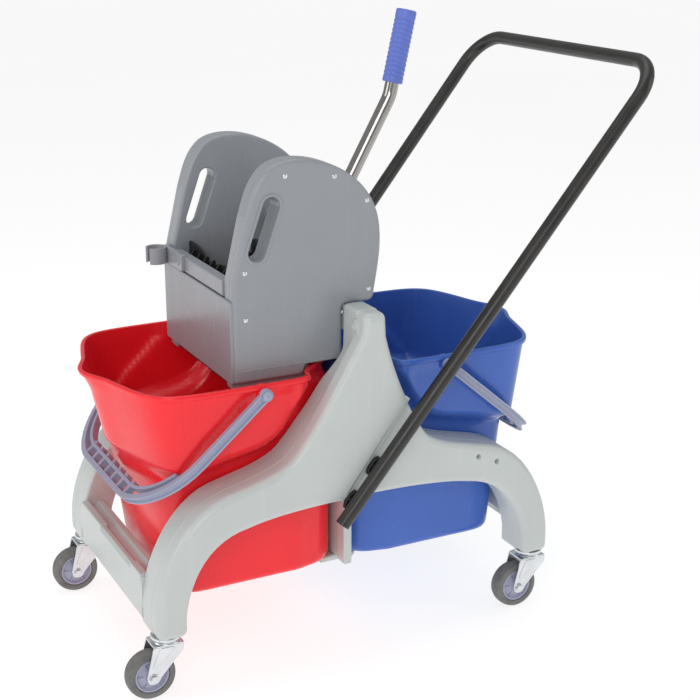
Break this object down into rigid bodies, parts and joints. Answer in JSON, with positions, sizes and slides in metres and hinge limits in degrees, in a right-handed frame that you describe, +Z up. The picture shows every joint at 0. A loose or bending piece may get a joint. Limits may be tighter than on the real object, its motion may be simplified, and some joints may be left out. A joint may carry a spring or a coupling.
{
  "type": "mop bucket trolley with wringer",
  "caption": "Wheeled mop trolley: arched frame carrying a red and a blue bucket, a down-press lever wringer over one of them, and a U-shaped push handle.",
  "frame": {"origin": "middle of the bounding box, on the floor under the wheels", "axes": "+X runs along the trolley from the red bucket to the blue one, the way the push handle leans; +Y across it, towards the side that carries the mop clip; +Z up"},
  "size_m": [0.8675, 0.52, 0.9552],
  "materials": {
    "frame_plastic": "moulded, fine satin texture",
    "red_plastic": "moulded, smooth",
    "blue_plastic": "moulded, smooth",
    "wringer_plastic": "moulded, semi-gloss",
    "bail_plastic": "moulded, satin",
    "black_plastic": "moulded, satin",
    "grip_plastic": "soft-touch moulded",
    "hub_plastic": "moulded, satin",
    "handle_paint": "powder coat, satin",
    "chrome": "bright plated",
    "zinc": "bright zinc plate",
    "spring_steel": "oiled spring wire",
    "tyre_rubber": "grey, non-marking"
  },
  "bodies": {
    "frame": {"near_side_frame": "frame_plastic", "near_upper_handle_saddle": "black_plastic", "near_lower_handle_saddle": "black_plastic", "near_red_castor_plate": "zinc", "near_blue_castor_plate": "zinc", "far_side_frame": "frame_plastic", "far_upper_handle_saddle": "black_plastic", "far_lower_handle_saddle": "black_plastic", "far_red_castor_plate": "zinc", "far_blue_castor_plate": "zinc", "red_end_crossbar": "frame_plastic", "blue_end_crossbar": "frame_plastic", "centre_bulkhead": "frame_plastic", "push_handle": "handle_paint"},
    "near_red_castor_fork": {"near_red_castor_fork": "zinc", "near_red_castor_axle": "zinc"},
    "near_red_castor_wheel": {"near_red_castor_hub": "hub_plastic", "near_red_castor_tyre": "tyre_rubber"},
    "near_blue_castor_fork": {"near_blue_castor_fork": "zinc", "near_blue_castor_axle": "zinc"},
    "near_blue_castor_wheel": {"near_blue_castor_hub": "hub_plastic", "near_blue_castor_tyre": "tyre_rubber"},
    "far_red_castor_fork": {"far_red_castor_fork": "zinc", "far_red_castor_axle": "zinc"},
    "far_red_castor_wheel": {"far_red_castor_hub": "hub_plastic", "far_red_castor_tyre": "tyre_rubber"},
    "far_blue_castor_fork": {"far_blue_castor_fork": "zinc", "far_blue_castor_axle": "zinc"},
    "far_blue_castor_wheel": {"far_blue_castor_hub": "hub_plastic", "far_blue_castor_tyre": "tyre_rubber"},
    "red_bucket": {"red_bucket": "red_plastic", "red_near_bail_rivet": "bail_plastic", "red_far_bail_rivet": "bail_plastic"},
    "blue_bucket": {"blue_bucket": "blue_plastic", "blue_near_bail_rivet": "bail_plastic", "blue_far_bail_rivet": "bail_plastic"},
    "red_bail": {"red_bail": "bail_plastic"},
    "blue_bail": {"blue_bail": "bail_plastic"},
    "wringer": {"near_wringer_wall": "wringer_plastic", "near_wringer_cover": "wringer_plastic", "near_return_spring": "spring_steel", "far_wringer_wall": "wringer_plastic", "far_wringer_cover": "wringer_plastic", "far_return_spring": "spring_steel", "wringer_front_panel": "wringer_plastic", "wringer_front_rail": "wringer_plastic", "wringer_rear_panel": "wringer_plastic", "wringer_floor_grid": "black_plastic", "wringer_sieve": "black_plastic", "mop_clip": "wringer_plastic"},
    "lever": {"lever_shaft": "chrome", "near_crank": "zinc", "far_crank": "zinc", "lever_socket": "black_plastic", "lever_tube": "chrome", "lever_grip": "grip_plastic"},
    "press_plate": {"press_plate": "black_plastic"},
    "rockers": {"near_rocker": "zinc", "far_rocker": "zinc"}
  },
  "joints": [
    {"name": "near_red_swivel", "type": "hinge", "parent": "frame", "child": "near_red_castor_fork", "pos_m": [-0.36925, -0.19, 0.09], "axis": [0, 0, 1], "continuous": true},
    {"name": "near_red_roll", "type": "hinge", "parent": "near_red_castor_fork", "child": "near_red_castor_wheel", "pos_m": [-0.39625, -0.19, 0.0375], "axis": [0, 1, 0], "continuous": true},
    {"name": "near_blue_swivel", "type": "hinge", "parent": "frame", "child": "near_blue_castor_fork", "pos_m": [0.26075, -0.19, 0.09], "axis": [0, 0, 1], "continuous": true},
    {"name": "near_blue_roll", "type": "hinge", "parent": "near_blue_castor_fork", "child": "near_blue_castor_wheel", "pos_m": [0.23375, -0.19, 0.0375], "axis": [0, 1, 0], "continuous": true},
    {"name": "far_red_swivel", "type": "hinge", "parent": "frame", "child": "far_red_castor_fork", "pos_m": [-0.36925, 0.19, 0.09], "axis": [0, 0, 1], "continuous": true},
    {"name": "far_red_roll", "type": "hinge", "parent": "far_red_castor_fork", "child": "far_red_castor_wheel", "pos_m": [-0.39625, 0.19, 0.0375], "axis": [0, 1, 0], "continuous": true},
    {"name": "far_blue_swivel", "type": "hinge", "parent": "frame", "child": "far_blue_castor_fork", "pos_m": [0.26075, 0.19, 0.09], "axis": [0, 0, 1], "continuous": true},
    {"name": "far_blue_roll", "type": "hinge", "parent": "far_blue_castor_fork", "child": "far_blue_castor_wheel", "pos_m": [0.23375, 0.19, 0.0375], "axis": [0, 1, 0], "continuous": true},
    {"name": "red_bucket_lift", "type": "slide", "parent": "frame", "child": "red_bucket", "axis": [0, 0, 1], "range_m": [0, 0.15]},
    {"name": "blue_bucket_lift", "type": "slide", "parent": "frame", "child": "blue_bucket", "axis": [0, 0, 1], "range_m": [0, 0.055]},
    {"name": "wringer_lift", "type": "slide", "parent": "red_bucket", "child": "wringer", "axis": [0, 0, 1], "range_m": [0, 0.15]},
    {"name": "red_bail_pivot", "type": "hinge", "parent": "red_bucket", "child": "red_bail", "pos_m": [-0.20325, 0, 0.438], "axis": [0, 1, 0], "range_deg": [0, 100]},
    {"name": "blue_bail_pivot", "type": "hinge", "parent": "blue_bucket", "child": "blue_bail", "pos_m": [0.10075, 0, 0.438], "axis": [0, -1, 0], "range_deg": [0, 100]},
    {"name": "lever_pivot", "type": "hinge", "parent": "wringer", "child": "lever", "pos_m": [-0.05925, 0, 0.63], "axis": [0, 1, 0], "range_deg": [0, 50], "stiffness_Nm_per_rad": 4, "springref_deg": -34.38},
    {"name": "press_plate_pin", "type": "hinge", "parent": "lever", "child": "press_plate", "pos_m": [-0.02629, 0, 0.55931], "axis": [0, 1, 0], "range_deg": [-50, 0]},
    {"name": "rocker_pivot", "type": "hinge", "parent": "wringer", "child": "rockers", "pos_m": [-0.10925, 0, 0.568], "axis": [0, 1, 0], "range_deg": [0, 50]}
  ],
  "couplings": [
    {"joint": "press_plate_pin", "follows": "lever_pivot", "ratio": -1},
    {"joint": "rocker_pivot", "follows": "lever_pivot", "ratio": 1}
  ]
}
